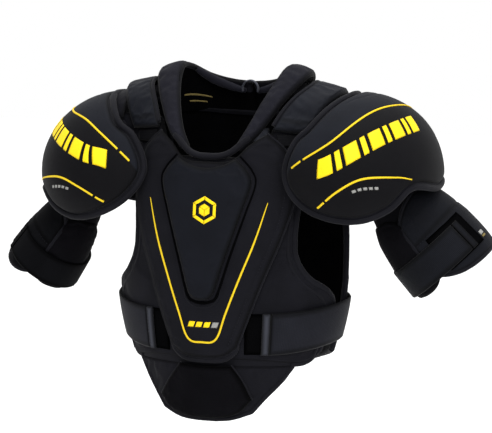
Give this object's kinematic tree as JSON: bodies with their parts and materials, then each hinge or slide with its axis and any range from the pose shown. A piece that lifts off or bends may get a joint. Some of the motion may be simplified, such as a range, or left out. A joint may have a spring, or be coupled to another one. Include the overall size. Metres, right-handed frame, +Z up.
{
  "type": "hockey shoulder pads",
  "caption": "Padded torso protector worn over the shoulders, with a raised chest plate, padded collar, domed shoulder caps, upper-arm guards and wide waist straps.",
  "frame": {"origin": "midway between the wearer's shoulders, at the height where the pads rest on them", "axes": "+Z up, -Y the way the chest faces, +X towards the wearer's left arm"},
  "size_m": [0.7791, 0.305, 0.5194],
  "materials": {
    "black_knit": "matte knitted polyester over foam",
    "slate_shell": "coated woven shell over foam, soft sheen",
    "mesh_lining": "open mesh lining",
    "yellow_piping": "satin woven cord",
    "grey_webbing": "woven webbing",
    "elastic_band": "woven elastic",
    "loop_pile": "brushed loop pile",
    "moulded_plastic": "moulded sheet",
    "foam": "closed-cell foam"
  },
  "bodies": {
    "vest": {"front_panel": "black_knit", "front_liner": "mesh_lining", "chest_plate": "black_knit", "chest_insert": "moulded_plastic", "sternum_pad": "slate_shell", "chest_piping": "yellow_piping", "neckline_binding": "grey_webbing", "back_panel": "black_knit", "back_liner": "mesh_lining", "spine_pad": "slate_shell", "spine_insert": "moulded_plastic", "hang_loop": "grey_webbing", "collar_left": "slate_shell", "yoke_left": "slate_shell", "shoulder_lining_left": "foam", "scapula_pad_left": "black_knit", "strap_patch_left": "loop_pile", "collar_right": "slate_shell", "yoke_right": "slate_shell", "shoulder_lining_right": "foam", "scapula_pad_right": "black_knit", "strap_patch_right": "loop_pile"},
    "belly": {"belly_panel": "black_knit", "belly_pad": "black_knit"},
    "waist_strap_left": {"side_strap_left": "elastic_band", "strap_tab_left": "grey_webbing"},
    "cap_left": {"cap_cover_left": "slate_shell", "cap_shell_left": "moulded_plastic", "cap_foam_left": "foam", "cap_rim_left": "black_knit", "cap_piping_upper_left": "yellow_piping", "cap_piping_lower_left": "yellow_piping"},
    "bicep_left": {"bicep_foam_left": "foam", "bicep_plate_left": "moulded_plastic", "bicep_cover_left": "slate_shell", "bicep_wing_left": "black_knit", "bicep_patch_left": "loop_pile", "bicep_strap_sewn_left": "elastic_band"},
    "bicep_flap_left": {"bicep_strap_left": "elastic_band", "bicep_tab_left": "grey_webbing"},
    "waist_strap_right": {"side_strap_right": "elastic_band", "strap_tab_right": "grey_webbing"},
    "cap_right": {"cap_cover_right": "slate_shell", "cap_shell_right": "moulded_plastic", "cap_foam_right": "foam", "cap_rim_right": "black_knit", "cap_piping_upper_right": "yellow_piping", "cap_piping_lower_right": "yellow_piping"},
    "bicep_right": {"bicep_foam_right": "foam", "bicep_plate_right": "moulded_plastic", "bicep_cover_right": "slate_shell", "bicep_wing_right": "black_knit", "bicep_patch_right": "loop_pile", "bicep_strap_sewn_right": "elastic_band"},
    "bicep_flap_right": {"bicep_strap_right": "elastic_band", "bicep_tab_right": "grey_webbing"}
  },
  "joints": [
    {"name": "cap_lift_left", "type": "hinge", "parent": "vest", "child": "cap_left", "pos_m": [0.128, 0, -0.002], "axis": [0, -1, 0], "range_deg": [-8, 50]},
    {"name": "bicep_swing_left", "type": "hinge", "parent": "cap_left", "child": "bicep_left", "pos_m": [0.199, 0, -0.089], "axis": [0, -1, 0], "range_deg": [-8, 0]},
    {"name": "bicep_strap_open_left", "type": "hinge", "parent": "bicep_left", "child": "bicep_flap_left", "pos_m": [0.2532, 0.0262, -0.269], "axis": [0.6617, 0.1483, -0.7349], "range_deg": [0, 70]},
    {"name": "waist_strap_open_left", "type": "hinge", "parent": "vest", "child": "waist_strap_left", "pos_m": [0.1436, 0.0543, -0.325], "axis": [0, 0, 1], "range_deg": [0, 42]},
    {"name": "cap_lift_right", "type": "hinge", "parent": "vest", "child": "cap_right", "pos_m": [-0.128, 0, -0.002], "axis": [0, 1, 0], "range_deg": [0, 55]},
    {"name": "bicep_swing_right", "type": "hinge", "parent": "cap_right", "child": "bicep_right", "pos_m": [-0.2136, 0, -0.1138], "axis": [0, 1, 0], "range_deg": [-10, 0]},
    {"name": "bicep_strap_open_right", "type": "hinge", "parent": "bicep_right", "child": "bicep_flap_right", "pos_m": [-0.2694, 0.026, -0.2859], "axis": [0.6089, -0.1483, 0.7793], "range_deg": [0, 70]},
    {"name": "waist_strap_open_right", "type": "hinge", "parent": "vest", "child": "waist_strap_right", "pos_m": [-0.1436, 0.0543, -0.325], "axis": [0, 0, -1], "range_deg": [0, 42]},
    {"name": "belly_flex", "type": "hinge", "parent": "vest", "child": "belly", "pos_m": [0, -0.1385, -0.3755], "axis": [-1, 0, 0], "range_deg": [0, 35]}
  ]
}
